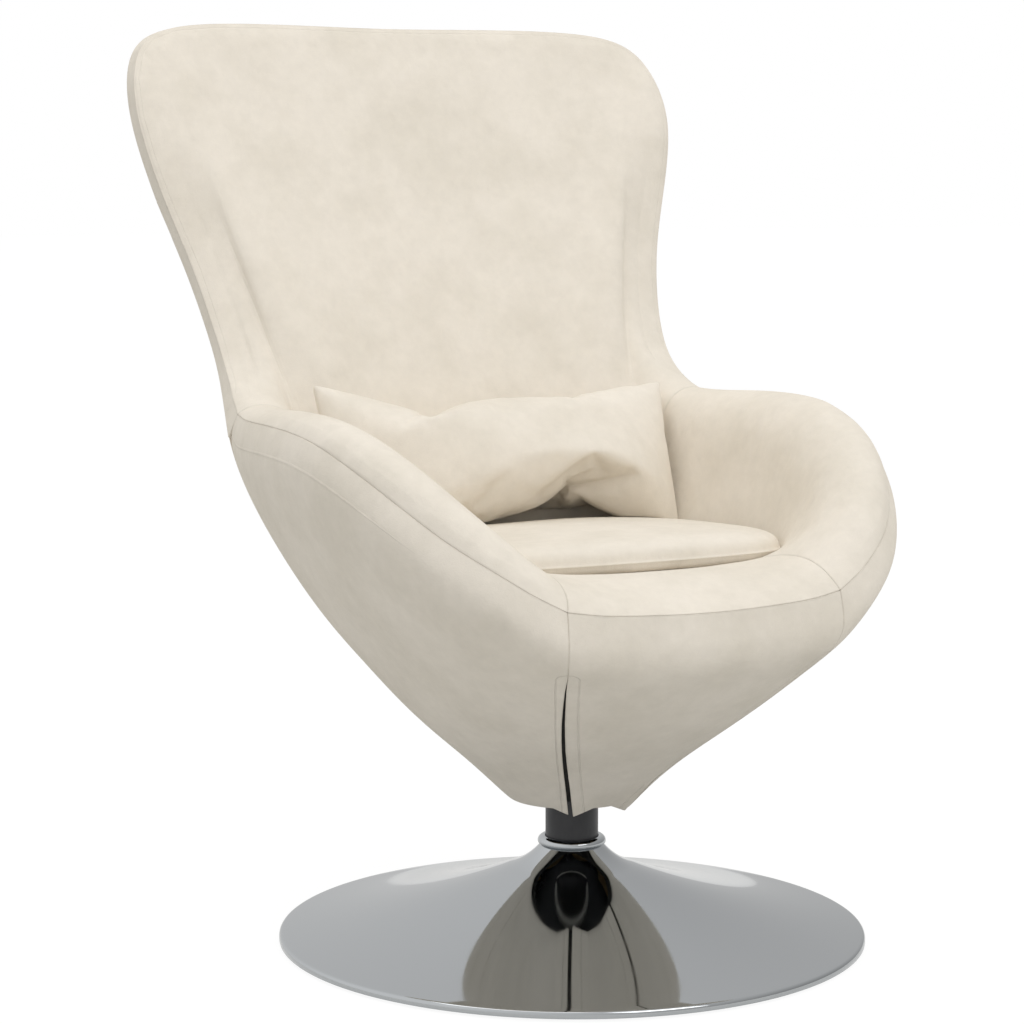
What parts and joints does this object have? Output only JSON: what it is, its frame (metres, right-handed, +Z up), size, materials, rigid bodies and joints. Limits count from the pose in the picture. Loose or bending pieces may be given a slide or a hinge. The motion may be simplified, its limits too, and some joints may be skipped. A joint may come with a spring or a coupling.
{
  "type": "swivel pod armchair",
  "caption": "Upholstered swivel pod armchair with wrap-round winged back, loose seat cushion and lumbar pillow on a black column and a round trumpet foot.",
  "frame": {"origin": "on the floor on the axis of the column, at the centre of the underside of the floor pad", "axes": "+Z up along the column, the sitter faces -Y, the sitter's right hand is at -X"},
  "size_m": [0.654, 0.7582, 0.941],
  "materials": {
    "floor_pad": "matt felt-like rubber",
    "ballast": "painted",
    "column": "satin black",
    "chrome_trim": "polished",
    "sleeve": "natural nylon",
    "chrome_foot": "polished",
    "steel": "zinc plated",
    "plate": "satin black",
    "board": "plywood",
    "shell": "moulded",
    "upholstery": "cream suede-like velvet",
    "cushion": "cream suede-like velvet over a soft filling"
  },
  "bodies": {
    "base": {"floor_pad": "floor_pad", "ballast_plate": "ballast", "column_tube": "column", "collar_ring": "chrome_trim", "swivel_sleeve": "sleeve", "trumpet_cover": "chrome_foot"},
    "pod": {"swivel_spindle": "steel", "retaining_clip": "steel", "mounting_plate": "plate", "plate_screws": "steel", "base_board": "board", "seat_board": "board", "pod_shell": "shell", "front_cover_panel": "upholstery", "right_side_cover": "upholstery", "left_side_cover": "upholstery", "back_cover": "upholstery", "edge_band": "upholstery", "front_lip_pad": "upholstery", "right_arm_pad": "upholstery", "left_arm_pad": "upholstery", "back_pad": "upholstery", "seat_deck_pad": "upholstery"},
    "seat_cushion": {"seat_cushion": "cushion"},
    "lumbar_pillow": {"lumbar_pillow": "cushion"}
  },
  "joints": [
    {"name": "swivel", "type": "hinge", "parent": "base", "child": "pod", "pos_m": [0, 0, 0.19], "axis": [0, 0, 1], "continuous": true},
    {"name": "seat_cushion_lift", "type": "slide", "parent": "pod", "child": "seat_cushion", "axis": [0, 0, 1], "range_m": [0, 0.4]},
    {"name": "lumbar_pillow_lift", "type": "slide", "parent": "seat_cushion", "child": "lumbar_pillow", "axis": [0, -0.3939, 0.9191], "range_m": [0, 0.45]}
  ]
}
